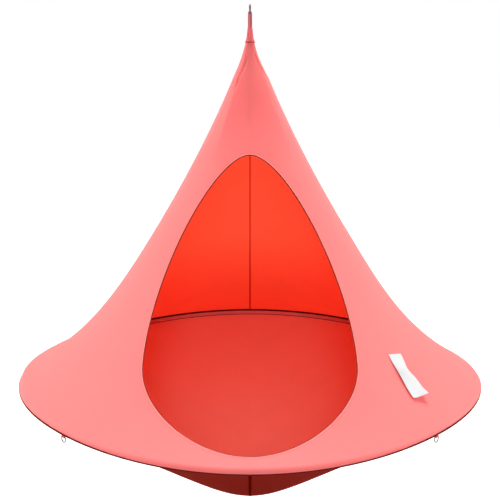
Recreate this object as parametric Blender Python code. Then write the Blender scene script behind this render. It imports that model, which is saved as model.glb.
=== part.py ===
# Cocoon hammock: a cloth cone with a teardrop doorway, drawn tight between a steel link that hangs
# from a hook and a metal ring in a cloth sleeve, with a sewn cloth seat below the ring.
# Metres, +Z up, front towards -Y. The origin is where a hook bears, inside the top of the link.
# Heights in this file are measured from the ring's plane, and angles from the front, towards +X.

import bpy
import bmesh
from math import asin, atan, cos, exp, floor, pi, radians, sin, sqrt, tan
from mathutils import Matrix, Vector

for old in list(bpy.data.objects):
    bpy.data.objects.remove(old, do_unlink=True)

# Room between pieces that touch
TOUCH = 0.0003
SEAM_GAP = 0.0003

# Ring: four bent tubes pushed together over ferrules. The cloth's pull leaves it a little square.
RING_RADIUS = 0.900
RING_SQUARENESS = 0.018
RING_STEPS = 48
RING_TUBES = 4
TUBE_RADIUS = 0.0125
TUBE_WALL = 0.0015
SECTION_SIDES = 12
FERRULE_LENGTH = 0.150
FERRULE_WALL = 0.0020

# Cloth that is seen: the sleeve round the ring and the two canopy panels
SLEEVE_CLOTH = 0.0012
CANOPY_CLOTH = 0.0012
CANOPY_HEIGHT = 1.340
CANOPY_BOW = 1.23
FLARE_WIDTH = 0.160
LEAVE_ANGLE = radians(60)
SQUARE_FADE = 0.167
CANOPY_ROWS = 16
ROW_CROWDING = 1.5

# Doorway, as half a teardrop seen from the front: sill, widest point, top, and the curve's handles
DOOR_SILL = 0.033
DOOR_WIDEST = 0.215
DOOR_TOP = 0.925
DOOR_HALF_WIDTH = 0.380
SILL_HANDLE = 0.170
SIDE_HANDLE_DOWN = 0.115
SIDE_HANDLE_UP = 0.230
TOP_HANDLE = 0.135
SILL_STEPS = 6
SIDE_STEPS = 10
HEM_WIDTH = 0.009
HEM_CLOTH = 0.0010
HEM_CLEARANCE = 0.0005

# Tapes over the seams
TAPE_WIDTH = 0.008
TAPE_CLOTH = 0.0010
TAPE_CLEARANCE = 0.0005
SEAT_TAPE_WIDTH = 0.010

# Seat: a rounded cone of cloth, sewn to the lower inner side of the sleeve
SEAT_CLOTH = 0.0015
SEAT_DEPTH = 0.511
SEAT_BELLY = 0.082
SEAT_NOSE = 0.200
SEAT_SEAM_ANGLE = radians(210)
SEAT_ROWS = 8

# Steel link that hangs on the hook, with a straight bar below for the webbing
LINK_WIRE = 0.008
LINK_BAR = 0.026
LINK_CORNER = 0.0045
LINK_RISE = 0.0285
BAR_ABOVE_COLLAR = 0.102

# Lifting webbing over the bar, its legs sewn inside the canopy panels. The collar has a little ease round it
WEBBING_WIDTH = 0.025
WEBBING_THICKNESS = 0.0030
WEBBING_CLEARANCE = 0.0006
WEBBING_SEWN = 0.130
WEBBING_SPREAD = 0.030
COLLAR_EASE = 0.0018

# Neck cover round the webbing, and the cap where it meets the canopy
NECK_CLOTH = 0.0010
NECK_CORNER = 0.0030
NECK_BELOW_BAR = 0.010
CAP_LAP = 0.008
CAP_RISE = 0.048
CAP_OVER_NECK = 0.003

# Tie-down rings on webbing tabs under the ring
TAB_WIDTH = 0.016
TAB_PLY = 0.0016
TAB_DROP = 0.0095
TIE_WIRE = 0.004
TIE_BAR = 0.019
TIE_CORNER = 0.0025
TIE_RISE = 0.021
TIE_PLACES = {"front_right": 48, "rear_right": 132, "rear_left": 228, "front_left": 312}

# Bare woven label, sewn on near the ring at the front right, a little askew
LABEL_WIDTH = 0.075
LABEL_LENGTH = 0.195
LABEL_CLOTH = 0.0010
LABEL_ANGLE = radians(52.2)
LABEL_HEIGHT = 0.145
LABEL_TURN = radians(-14)

# Derived places
BAR_HEIGHT = CANOPY_HEIGHT + BAR_ABOVE_COLLAR
BAR_Z = LINK_WIRE / 2 - LINK_RISE
RING_Z = BAR_Z - BAR_HEIGHT
SLEEVE_INNER = TUBE_RADIUS + TOUCH
SLEEVE_OUTER = SLEEVE_INNER + SLEEVE_CLOTH
LAP_RADIUS = SLEEVE_OUTER + TOUCH + CANOPY_CLOTH
COLLAR_RADIUS = WEBBING_WIDTH / 2 + COLLAR_EASE + CANOPY_CLOTH
FOOT_OUT = LAP_RADIUS * cos(LEAVE_ANGLE)
FOOT_HEIGHT = LAP_RADIUS * sin(LEAVE_ANGLE)
CONE_SPREAD = RING_RADIUS + FOOT_OUT - COLLAR_RADIUS - FLARE_WIDTH
CONE_HEIGHT = CANOPY_HEIGHT - FOOT_HEIGHT
FLARE_FADE = FLARE_WIDTH / (tan(LEAVE_ANGLE) - CONE_SPREAD * CANOPY_BOW / CONE_HEIGHT)
HALF_STEPS = RING_STEPS // 2


def finish(name, look):
    """Material with the piece's own colour, roughness and metallic value."""
    colour, roughness, metallic = look
    material = bpy.data.materials.new(name)
    material.use_nodes = True
    shader = material.node_tree.nodes["Principled BSDF"]
    shader.inputs["Base Color"].default_value = (*colour, 1.0)
    shader.inputs["Roughness"].default_value = roughness
    shader.inputs["Metallic"].default_value = metallic
    return material


CORAL_CLOTH = ((0.86, 0.24, 0.22), 0.75, 0.0)
SEAT_RED = ((0.62, 0.10, 0.07), 0.80, 0.0)
SEAM_RED = ((0.50, 0.05, 0.03), 0.80, 0.0)
NECK_MAUVE = ((0.55, 0.24, 0.24), 0.75, 0.0)
WEBBING_RED = ((0.60, 0.20, 0.19), 0.80, 0.0)
LABEL_WHITE = ((0.90, 0.89, 0.87), 0.70, 0.0)
STEEL = ((0.16, 0.15, 0.15), 0.40, 1.0)
ALUMINIUM = ((0.75, 0.75, 0.76), 0.40, 1.0)

swing_pivot = bpy.data.objects.new("swing_pivot", None)
swing_pivot.location = (0.0, 0.0, BAR_Z)
bpy.context.scene.collection.objects.link(swing_pivot)
bpy.context.view_layer.update()


def closed_mesh(name, faces):
    """Mesh from faces given as lists of points. Points that coincide become one vertex."""
    shape = bmesh.new()
    corners = {}
    for face in faces:
        ring = []
        for point in face:
            key = tuple(round(value * 1e7) for value in point)
            if key not in corners:
                corners[key] = shape.verts.new(point)
            if corners[key] not in ring:
                ring.append(corners[key])
        if len(ring) > 2:
            shape.faces.new(ring)
    bmesh.ops.recalc_face_normals(shape, faces=shape.faces[:])
    mesh = bpy.data.meshes.new(name)
    shape.to_mesh(mesh)
    shape.free()
    mesh.shade_smooth()
    mesh.set_sharp_from_angle(angle=radians(40))
    return mesh


def add_piece(name, mesh, look, parent=swing_pivot, place=None):
    """Object with its own material. Its place is given in world space, also under a parent."""
    mesh = mesh if not mesh.materials else mesh.copy()
    mesh.materials.append(finish(name, look))
    piece = bpy.data.objects.new(name, mesh)
    bpy.context.scene.collection.objects.link(piece)
    piece.matrix_world = place or Matrix.Identity(4)
    if parent:
        piece.parent = parent
        piece.matrix_parent_inverse = parent.matrix_world.inverted()
    return piece


def strip_faces(rows, close_rows=False, close_columns=False):
    """Quads between neighbouring rows of points."""
    down = len(rows) if close_rows else len(rows) - 1
    across = len(rows[0]) if close_columns else len(rows[0]) - 1
    faces = []
    for i in range(down):
        upper, lower = rows[i], rows[(i + 1) % len(rows)]
        for j in range(across):
            k = (j + 1) % len(upper)
            faces.append([upper[j], upper[k], lower[k], lower[j]])
    return faces


def slab_faces(outer, inner):
    """Sheet with a thickness: two grids of points and the four borders between them."""
    faces = strip_faces(outer) + strip_faces(inner)
    faces += strip_faces([outer[0], inner[0]])
    faces += strip_faces([outer[-1], inner[-1]])
    faces += strip_faces([[row[0] for row in outer], [row[0] for row in inner]])
    faces += strip_faces([[row[-1] for row in outer], [row[-1] for row in inner]])
    return faces


def pipe_faces(outer, inner):
    """Hollow pipe through closed outlines: outer wall, inner wall and a flat ring at each end."""
    faces = strip_faces(outer, close_columns=True) + strip_faces(inner, close_columns=True)
    faces += strip_faces([outer[0], inner[0]], close_columns=True)
    faces += strip_faces([outer[-1], inner[-1]], close_columns=True)
    return faces


def around(angle, radius, height):
    """World point at an angle from the front, a radius and a height above the ring's plane."""
    return Vector((radius * sin(angle), -radius * cos(angle), RING_Z + height))


def ring_radius(angle):
    return RING_RADIUS * (1 + RING_SQUARENESS * cos(4 * angle))


def ring_point(step, outward, upward):
    """Point beside the ring's centre line. Between two steps the ring runs straight."""
    before = floor(step)
    ends = []
    for k in (before, before + 1):
        angle = k * 2 * pi / RING_STEPS
        ends.append(around(angle, ring_radius(angle) + outward, upward))
    return ends[0].lerp(ends[1], step - before)


def ring_section(step, radius):
    """Outline of a round section of the ring at a step."""
    turn = 2 * pi / SECTION_SIDES
    return [ring_point(step, radius * cos(k * turn), radius * sin(k * turn)) for k in range(SECTION_SIDES)]


def steps_between(first, last):
    """Step numbers from first to last, with the whole steps between them."""
    whole = [k for k in range(floor(first) + 1, floor(last) + 1) if first < k < last]
    return [first] + whole + [last]


def gap_in_steps(gap):
    return gap * RING_STEPS / (2 * pi * RING_RADIUS)


def ring_pipe(name, first, last, outer_radius, inner_radius, look):
    """Length of tube, ferrule or sleeve that follows the ring."""
    steps = steps_between(first, last)
    outer = [ring_section(step, outer_radius) for step in steps]
    inner = [ring_section(step, inner_radius) for step in steps]
    return add_piece(name, closed_mesh(name, pipe_faces(outer, inner)), look)


# Ring tubes, one to each quarter, and the ferrules that join them at the front, sides and back
quarter = RING_STEPS / RING_TUBES
half_gap = gap_in_steps(SEAM_GAP) / 2
half_ferrule = gap_in_steps(FERRULE_LENGTH) / 2
tube_bore = TUBE_RADIUS - TUBE_WALL
ferrule_radius = tube_bore - TOUCH
for k in range(RING_TUBES):
    ring_pipe(
        f"ring_tube_{k + 1}", k * quarter + half_gap, (k + 1) * quarter - half_gap,
        TUBE_RADIUS, tube_bore, ALUMINIUM,
    )
    ring_pipe(
        f"ring_ferrule_{k + 1}", k * quarter - half_ferrule, k * quarter + half_ferrule,
        ferrule_radius, ferrule_radius - FERRULE_WALL, ALUMINIUM,
    )

# Sleeve round the ring, in two lengths that meet at the front and back seams
for name, start in (("rim_sleeve_right", 0), ("rim_sleeve_left", HALF_STEPS)):
    ends = (start + half_gap, start + HALF_STEPS - half_gap)
    ring_pipe(name, *ends, SLEEVE_OUTER, SLEEVE_INNER, CORAL_CLOTH)


def canopy_radius(height):
    """Outer face of the canopy: a slightly bowed cone that flares out to the ring."""
    share = min(max((CANOPY_HEIGHT - height) / CONE_HEIGHT, 0.0), 1.0)
    flare = FLARE_WIDTH * exp(-(height - FOOT_HEIGHT) / FLARE_FADE)
    return COLLAR_RADIUS + CONE_SPREAD * share ** CANOPY_BOW + flare


def canopy_slope(height):
    """How fast the canopy's radius shrinks with height."""
    share = min(max((CANOPY_HEIGHT - height) / CONE_HEIGHT, 0.0), 1.0)
    cone = CONE_SPREAD * CANOPY_BOW * share ** (CANOPY_BOW - 1) / CONE_HEIGHT
    return cone + FLARE_WIDTH / FLARE_FADE * exp(-(height - FOOT_HEIGHT) / FLARE_FADE)


def canopy_point(angle, height, depth=0.0):
    """Point at a depth under the canopy's outer face. The ring's squareness fades upwards."""
    square = RING_RADIUS * RING_SQUARENESS * cos(4 * angle) * exp(-(height - FOOT_HEIGHT) / SQUARE_FADE)
    tilt = atan(canopy_slope(height))
    radius = canopy_radius(height) + square - depth * cos(tilt)
    return around(angle, radius, height - depth * sin(tilt))


# Rows of the canopy, closer together towards the ring, where it curves most
cap_foot = CANOPY_HEIGHT - CAP_LAP
row_heights = []
for k in range(CANOPY_ROWS + 1):
    row_heights.append(FOOT_HEIGHT + (cap_foot - FOOT_HEIGHT) * (k / CANOPY_ROWS) ** ROW_CROWDING)
row_heights.append(CANOPY_HEIGHT)


def canopy_grid(side, depth):
    """Rows of points on one panel, from the front seam round to the back seam."""
    grid = []
    for height in row_heights:
        seam = asin(SEAM_GAP / 2 / canopy_radius(height))
        angles = [seam] + [2 * pi * k / RING_STEPS for k in range(1, HALF_STEPS)] + [pi - seam]
        grid.append([canopy_point(side * angle, height, depth) for angle in angles])
    return grid


def curve_point(a, b, c, d, t):
    """Point on a cubic curve from a to d with handles b and c."""
    weights = ((1 - t) ** 3, 3 * (1 - t) ** 2 * t, 3 * (1 - t) * t ** 2, t ** 3)
    return tuple(sum(w * p[k] for w, p in zip(weights, (a, b, c, d))) for k in (0, 1))


def door_outline():
    """Doorway seen from the front, as widths and heights, from the sill up the right side and back."""
    sill, side, top = (0.0, DOOR_SILL), (DOOR_HALF_WIDTH, DOOR_WIDEST), (0.0, DOOR_TOP)
    lower = (sill, (SILL_HANDLE, DOOR_SILL), (DOOR_HALF_WIDTH, DOOR_WIDEST - SIDE_HANDLE_DOWN), side)
    upper = (side, (DOOR_HALF_WIDTH, DOOR_WIDEST + SIDE_HANDLE_UP), (TOP_HANDLE, DOOR_TOP), top)
    right = [curve_point(*lower, k / SILL_STEPS) for k in range(SILL_STEPS)]
    right += [curve_point(*upper, k / SIDE_STEPS) for k in range(SIDE_STEPS + 1)]
    return right + [(-x, height) for x, height in reversed(right[1:-1])]


def widened(outline, width):
    """The outline moved outwards by a width."""
    moved = []
    for k, (x, height) in enumerate(outline):
        ahead, behind = outline[(k + 1) % len(outline)], outline[k - 1]
        run = Vector((ahead[0] - behind[0], ahead[1] - behind[1])).normalized()
        moved.append((x + run.y * width, height - run.x * width))
    return moved


def front_prism(outline, ends):
    """The outline at each of two places along Y."""
    return [[Vector((x, y, RING_Z + height)) for x, height in outline] for y in ends]


def cutter(name, faces):
    piece = bpy.data.objects.new(name, closed_mesh(name, faces))
    bpy.context.scene.collection.objects.link(piece)
    piece.hide_render = True
    piece.display_type = "WIRE"
    return piece


def cut(piece, tool, operation):
    boolean = piece.modifiers.new(tool.name, "BOOLEAN")
    boolean.object = tool
    boolean.operation = operation
    boolean.solver = "EXACT"


# Canopy panels, left and right, which meet at seams at the front and back, with the doorway cut out
door = door_outline()
door_ends = (-RING_RADIUS * 1.2, -0.02)
prism = front_prism(door, door_ends)
door_cutter = cutter("door_cutter", strip_faces(prism, close_columns=True) + [prism[0], prism[1]])
for name, side in (("canopy_right_panel", 1), ("canopy_left_panel", -1)):
    panel_faces = slab_faces(canopy_grid(side, 0.0), canopy_grid(side, CANOPY_CLOTH))
    panel = add_piece(name, closed_mesh(name, panel_faces), CORAL_CLOTH)
    cut(panel, door_cutter, "DIFFERENCE")

# Turned hem round the doorway, on the inside, as one closed band
hem_outer = front_prism(widened(door, HEM_WIDTH), door_ends)
band_cutter = cutter("hem_cutter", pipe_faces(hem_outer, prism))
door_angles = [asin(min(1.0, (x + HEM_WIDTH) / canopy_radius(height))) for x, height in door]
hem_reach = min(floor(max(door_angles) * RING_STEPS / (2 * pi)) + 2, HALF_STEPS - 1)
hem_grids = []
for depth in (CANOPY_CLOTH + HEM_CLEARANCE, CANOPY_CLOTH + HEM_CLEARANCE + HEM_CLOTH):
    steps = range(-hem_reach, hem_reach + 1)
    hem_grids.append([[canopy_point(2 * pi * k / RING_STEPS, h, depth) for k in steps] for h in row_heights])
hem = add_piece("door_hem", closed_mesh("door_hem", slab_faces(*hem_grids)), CORAL_CLOTH)
cut(hem, band_cutter, "INTERSECT")


def seam_tape(name, angle, heights):
    """Flat tape along a seam, on the inside of the canopy."""
    across = Vector((cos(angle), sin(angle), 0.0)) * TAPE_WIDTH / 2
    grids = []
    for depth in (CANOPY_CLOTH + TAPE_CLEARANCE, CANOPY_CLOTH + TAPE_CLEARANCE + TAPE_CLOTH):
        centre = [canopy_point(angle, height, depth) for height in heights]
        grids.append([[point - across, point + across] for point in centre])
    return add_piece(name, closed_mesh(name, slab_faces(*grids)), SEAM_RED)


# Back tape over the whole seam and front tape above the doorway
seam_tape("back_seam_tape", pi, row_heights[1:-1])
hem_top = DOOR_TOP + HEM_WIDTH + 2 * TAPE_CLOTH
seam_tape("front_seam_tape", 0.0, [hem_top] + [h for h in row_heights if hem_top < h < CANOPY_HEIGHT])


# Seat panels, from the sleeve down to the nose, which meet at a seam from front to back
seat_inset = (SLEEVE_OUTER + TOUCH + SEAM_GAP) * -cos(SEAT_SEAM_ANGLE)
seat_drop = (SLEEVE_OUTER + TOUCH + SEAM_GAP) * -sin(SEAT_SEAM_ANGLE)
seat_reach = RING_RADIUS - seat_inset
nose_span = sqrt(seat_reach ** 2 + SEAT_NOSE ** 2) - SEAT_NOSE


def seat_height(share):
    """Middle of the seat cloth at a share of the way from the nose to the sleeve."""
    rise = (sqrt((share * seat_reach) ** 2 + SEAT_NOSE ** 2) - SEAT_NOSE) / nose_span
    return -SEAT_DEPTH + (SEAT_DEPTH - seat_drop) * rise + SEAT_BELLY * rise * (1 - rise)


def seat_point(angle, share, depth):
    """Point at a depth under the middle of the seat cloth."""
    small = 0.001
    tilt = 0.0
    if share > 0:
        tilt = atan((seat_height(share + small) - seat_height(share - small)) / (2 * small * seat_reach))
    square = RING_RADIUS * RING_SQUARENESS * cos(4 * angle) * share ** 2
    radius = share * (seat_reach + square) + depth * sin(tilt)
    return around(angle, radius, seat_height(share) - depth * cos(tilt))


def seat_grid(side, depth):
    aside = Vector((side * SEAM_GAP / 2, 0.0, 0.0))
    shares = [k / SEAT_ROWS for k in range(SEAT_ROWS + 1)]
    angles = [side * pi * j / HALF_STEPS for j in range(HALF_STEPS + 1)]
    return [[seat_point(angle, share, depth) + aside for angle in angles] for share in shares]


for name, side in (("seat_right_panel", 1), ("seat_left_panel", -1)):
    faces = slab_faces(seat_grid(side, SEAT_CLOTH / 2), seat_grid(side, -SEAT_CLOTH / 2))
    add_piece(name, closed_mesh(name, faces), SEAT_RED)


def seat_seam_tape():
    """Tape under the seat's seam, from the front of the ring to the back."""
    shares = [k / SEAT_ROWS for k in range(SEAT_ROWS)]
    places = [(0.0, share) for share in reversed(shares)] + [(pi, share) for share in shares[1:]]
    across = Vector((SEAT_TAPE_WIDTH / 2, 0.0, 0.0))
    grids = []
    for depth in (SEAT_CLOTH / 2 + TAPE_CLEARANCE, SEAT_CLOTH / 2 + TAPE_CLEARANCE + TAPE_CLOTH):
        centre = [seat_point(angle, share, depth) for angle, share in places]
        grids.append([[point - across, point + across] for point in centre])
    return add_piece("seat_seam_tape", closed_mesh("seat_seam_tape", slab_faces(*grids)), SEAM_RED)


seat_seam_tape()


def link_mesh(name, bar, corner, rise, wire, upward, corner_steps=3, arch_steps=12, sides=12):
    """Closed link of round wire: a straight bar, two corners and an arch. The bar's middle is the origin."""
    half = bar / 2 + corner
    path = []
    for k in range(corner_steps + 1):
        turn = -pi / 2 + k * pi / 2 / corner_steps
        path.append((bar / 2 + corner * cos(turn), corner + corner * sin(turn)))
    for k in range(arch_steps + 1):
        turn = k * pi / arch_steps
        path.append((half * cos(turn), rise - half + half * sin(turn)))
    for k in range(corner_steps + 1):
        turn = pi + k * pi / 2 / corner_steps
        path.append((-bar / 2 + corner * cos(turn), corner + corner * sin(turn)))
    sections = []
    for k, (along, rise_here) in enumerate(path):
        ahead, behind = path[(k + 1) % len(path)], path[k - 1]
        run = Vector((ahead[0] - behind[0], 0.0, (ahead[1] - behind[1]) * upward)).normalized()
        sideways = Vector((run.z, 0.0, -run.x))
        centre = Vector((along, 0.0, rise_here * upward))
        ring = []
        for j in range(sides):
            turn = 2 * pi * j / sides
            ring.append(centre + (sideways * cos(turn) + Vector((0.0, 1.0, 0.0)) * sin(turn)) * wire / 2)
        sections.append(ring)
    return closed_mesh(name, strip_faces(sections, close_rows=True, close_columns=True))


# Hanging link, edge on to the front, with its bar across the webbing
link_place = Matrix.Translation((0.0, 0.0, BAR_Z)) @ Matrix.Rotation(pi / 2, 4, "Z")
link = link_mesh("hanging_link", LINK_BAR, LINK_CORNER, LINK_RISE, LINK_WIRE, 1)
add_piece("hanging_link", link, STEEL, parent=None, place=link_place)


def webbing_middle(height):
    """Half spread of the webbing's legs where they lie on the inside of the canopy."""
    inside = canopy_radius(height) - CANOPY_CLOTH
    chord = sqrt(inside ** 2 - (WEBBING_WIDTH / 2) ** 2)
    return chord - WEBBING_CLEARANCE - WEBBING_THICKNESS / 2


def lifting_webbing():
    """Webbing over the link's bar, with both legs down inside the neck and along the panels."""
    bend = LINK_WIRE / 2 + TOUCH + WEBBING_THICKNESS / 2
    sewn_steps = 4
    leg = []
    for k in range(sewn_steps + 1):
        height = CANOPY_HEIGHT - WEBBING_SEWN * (1 - k / sewn_steps)
        leg.append((webbing_middle(height), height))
    leg.append((bend, CANOPY_HEIGHT + WEBBING_SPREAD))
    bend_steps = 8
    arch = []
    for k in range(bend_steps + 1):
        turn = pi * k / bend_steps
        arch.append((bend * cos(turn), BAR_HEIGHT + bend * sin(turn)))
    path = leg + arch + [(-x, height) for x, height in reversed(leg)]
    outer, inner = [], []
    for k, (x, height) in enumerate(path):
        ahead, behind = path[min(k + 1, len(path) - 1)], path[max(k - 1, 0)]
        run = Vector((ahead[0] - behind[0], 0.0, ahead[1] - behind[1])).normalized()
        out = Vector((run.z, 0.0, -run.x)) * WEBBING_THICKNESS / 2
        middle = Vector((x, 0.0, RING_Z + height))
        across = Vector((0.0, WEBBING_WIDTH / 2, 0.0))
        outer.append([middle + out - across, middle + out + across])
        inner.append([middle - out - across, middle - out + across])
    return add_piece("lifting_webbing", closed_mesh("lifting_webbing", slab_faces(outer, inner)), WEBBING_RED)


lifting_webbing()

CORNER_POINTS = 4


def neck_outline(grow, height):
    """Rounded rectangle round both legs of the webbing, as closed points at a height."""
    centre_x = LINK_WIRE / 2 + TOUCH + WEBBING_THICKNESS + TOUCH - NECK_CORNER
    centre_y = WEBBING_WIDTH / 2
    points = []
    for k in range(4):
        sign_x, sign_y = ((1, 1), (-1, 1), (-1, -1), (1, -1))[k]
        for j in range(CORNER_POINTS):
            turn = k * pi / 2 + j * pi / 2 / (CORNER_POINTS - 1)
            x = sign_x * centre_x + (NECK_CORNER + grow) * cos(turn)
            y = sign_y * centre_y + (NECK_CORNER + grow) * sin(turn)
            points.append(Vector((x, y, RING_Z + height)))
    return points


def collar_outline(radius, height):
    """Circle with the same number of points, in the same order, as the neck's outline."""
    count = 4 * CORNER_POINTS
    points = []
    for k in range(count):
        turn = (k + 0.5) * 2 * pi / count
        points.append(Vector((radius * cos(turn), radius * sin(turn), RING_Z + height)))
    return points


# Neck cover over the webbing, open at both ends
neck_top = BAR_HEIGHT - NECK_BELOW_BAR
neck_foot = CANOPY_HEIGHT + CAP_RISE - CAP_OVER_NECK
neck_outer = [neck_outline(NECK_CLOTH, height) for height in (neck_top, neck_foot)]
neck_inner = [neck_outline(0.0, height) for height in (neck_top, neck_foot)]
add_piece("neck_cover", closed_mesh("neck_cover", pipe_faces(neck_outer, neck_inner)), NECK_MAUVE)

# Apex cap, from the neck cover down over the tops of the canopy panels
cap_shoulder = CANOPY_HEIGHT + CAP_RISE - CAP_OVER_NECK
facet = 1 / cos(pi / (4 * CORNER_POINTS))
cap_walls = []
for grow in (NECK_CLOTH, 0.0):
    cap_walls.append([
        neck_outline(NECK_CLOTH + TOUCH + grow, CANOPY_HEIGHT + CAP_RISE),
        neck_outline(NECK_CLOTH + TOUCH + grow, cap_shoulder),
        collar_outline((canopy_radius(CANOPY_HEIGHT) + TOUCH) * facet + grow, CANOPY_HEIGHT),
        collar_outline((canopy_radius(cap_foot) + TOUCH) * facet + grow, cap_foot),
    ])
add_piece("apex_cap", closed_mesh("apex_cap", pipe_faces(*cap_walls)), NECK_MAUVE)


def tab_mesh():
    """Webbing tab folded round a tie-down ring's bar. The bar's axis is the origin."""
    hole = TIE_WIRE / 2 + TOUCH
    eye = hole + TAB_PLY
    turns = [radians(120 + 30 * k) for k in range(11)]
    outer = [(eye * cos(turn), eye * sin(turn)) for turn in turns]
    outer += [(eye * cos(turns[-1]), TAB_DROP), (eye * cos(turns[0]), TAB_DROP)]
    hole_turns = turns + [radians(80), radians(100)]
    inner = [(hole * cos(turn), hole * sin(turn)) for turn in hole_turns]
    ends = (-TAB_WIDTH / 2, TAB_WIDTH / 2)
    outer_rings = [[Vector((end, y, z)) for y, z in outer] for end in ends]
    inner_rings = [[Vector((end, y, z)) for y, z in inner] for end in ends]
    return closed_mesh("tie_tab", pipe_faces(outer_rings, inner_rings))


# Tie-down rings, each in a tab sewn under the sleeve near the middle of a ring tube
tab = tab_mesh()
tie = link_mesh("tie_ring", TIE_BAR, TIE_CORNER, TIE_RISE, TIE_WIRE, -1, corner_steps=2, arch_steps=10)
for place_name, degrees in TIE_PLACES.items():
    angle = radians(degrees)
    bar_centre = around(angle, ring_radius(angle), -(SLEEVE_OUTER + TOUCH + TAB_DROP))
    tie_place = Matrix.Translation(bar_centre) @ Matrix.Rotation(angle, 4, "Z")
    add_piece(f"tie_tab_{place_name}", tab, WEBBING_RED, place=tie_place)
    add_piece(f"tie_ring_{place_name}", tie, STEEL, place=tie_place)


def label():
    """Bare label that lies on the canopy, with its long side down the slope."""
    tilt = atan(canopy_slope(LABEL_HEIGHT))
    out = Vector((sin(LABEL_ANGLE), -cos(LABEL_ANGLE), 0.0))
    aside = Vector((cos(LABEL_ANGLE), sin(LABEL_ANGLE), 0.0))
    normal = out * cos(tilt) + Vector((0.0, 0.0, sin(tilt)))
    turn = Matrix.Rotation(LABEL_TURN, 3, normal)
    half_width = turn @ aside * LABEL_WIDTH / 2
    half_length = turn @ normal.cross(aside) * LABEL_LENGTH / 2
    middle = canopy_point(LABEL_ANGLE, LABEL_HEIGHT)
    layers = []
    for shift in (normal * -0.05, normal * 0.05):
        corners = [(1, 1), (-1, 1), (-1, -1), (1, -1)]
        layers.append([middle + shift + half_width * a + half_length * b for a, b in corners])
    box = cutter("label_cutter", strip_faces(layers, close_columns=True) + layers)
    first = floor((LABEL_ANGLE - 0.2) * RING_STEPS / (2 * pi))
    heights = [h for h in row_heights if h < LABEL_HEIGHT + LABEL_LENGTH]
    grids = []
    for depth in (-TOUCH, -TOUCH - LABEL_CLOTH):
        grids.append([
            [canopy_point(2 * pi * (first + k) / RING_STEPS, h, depth) for k in range(5)] for h in heights
        ])
    piece = add_piece("side_label", closed_mesh("side_label", slab_faces(*grids)), LABEL_WHITE)
    cut(piece, box, "INTERSECT")


label()
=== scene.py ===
from math import asin, atan, atan2, cos, exp, hypot, pi, radians, sin, sqrt, tan

import bpy
from mathutils import Matrix, Vector


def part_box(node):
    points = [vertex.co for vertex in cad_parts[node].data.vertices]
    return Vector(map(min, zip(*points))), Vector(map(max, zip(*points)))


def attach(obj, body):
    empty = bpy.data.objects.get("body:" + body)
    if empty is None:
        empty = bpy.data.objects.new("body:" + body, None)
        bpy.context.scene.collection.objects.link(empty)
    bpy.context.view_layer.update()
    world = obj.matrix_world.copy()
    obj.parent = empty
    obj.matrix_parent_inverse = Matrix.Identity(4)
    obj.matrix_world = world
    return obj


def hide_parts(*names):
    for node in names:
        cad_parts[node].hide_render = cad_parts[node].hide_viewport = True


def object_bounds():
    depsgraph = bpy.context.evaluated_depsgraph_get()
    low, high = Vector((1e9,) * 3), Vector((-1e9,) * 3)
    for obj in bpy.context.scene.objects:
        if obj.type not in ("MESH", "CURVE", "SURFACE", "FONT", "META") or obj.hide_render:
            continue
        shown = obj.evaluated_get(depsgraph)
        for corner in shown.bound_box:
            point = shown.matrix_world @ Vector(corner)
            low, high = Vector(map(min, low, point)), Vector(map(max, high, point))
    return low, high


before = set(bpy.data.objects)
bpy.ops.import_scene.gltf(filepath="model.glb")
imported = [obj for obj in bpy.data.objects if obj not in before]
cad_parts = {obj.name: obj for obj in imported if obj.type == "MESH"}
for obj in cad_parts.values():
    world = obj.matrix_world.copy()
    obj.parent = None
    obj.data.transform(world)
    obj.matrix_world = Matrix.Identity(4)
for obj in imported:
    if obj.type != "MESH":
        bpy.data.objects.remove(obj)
cad_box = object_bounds()

# Camera: it looks slightly down at the doorway from four metres away, a little above the hoop.
# Distances are taken from the middle of the hoop, which the ring tubes give.
tube_low, tube_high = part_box("ring_tube_1")
RING_Z = (tube_low.z + tube_high.z) / 2
CAMERA_DISTANCE = 4.0
CAMERA_ELEVATION = radians(19.58)
CAMERA_PITCH = radians(12.28)
CAMERA_LENS = 69.4


def around(angle, radius, height):
    """Place at an angle from the front, a distance from the middle and a height above the hoop."""
    return Vector((radius * sin(angle), -radius * cos(angle), RING_Z + height))


scene = bpy.context.scene
camera = bpy.data.objects.new("camera", bpy.data.cameras.new("camera"))
camera.data.lens = CAMERA_LENS
camera_out = CAMERA_DISTANCE * cos(CAMERA_ELEVATION)
camera.location = around(0.0, camera_out, CAMERA_DISTANCE * sin(CAMERA_ELEVATION))
camera.rotation_euler = (pi / 2 - CAMERA_PITCH, 0.0, 0.0)
scene.collection.objects.link(camera)
scene.camera = camera
scene.view_settings.view_transform = "Standard"

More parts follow.
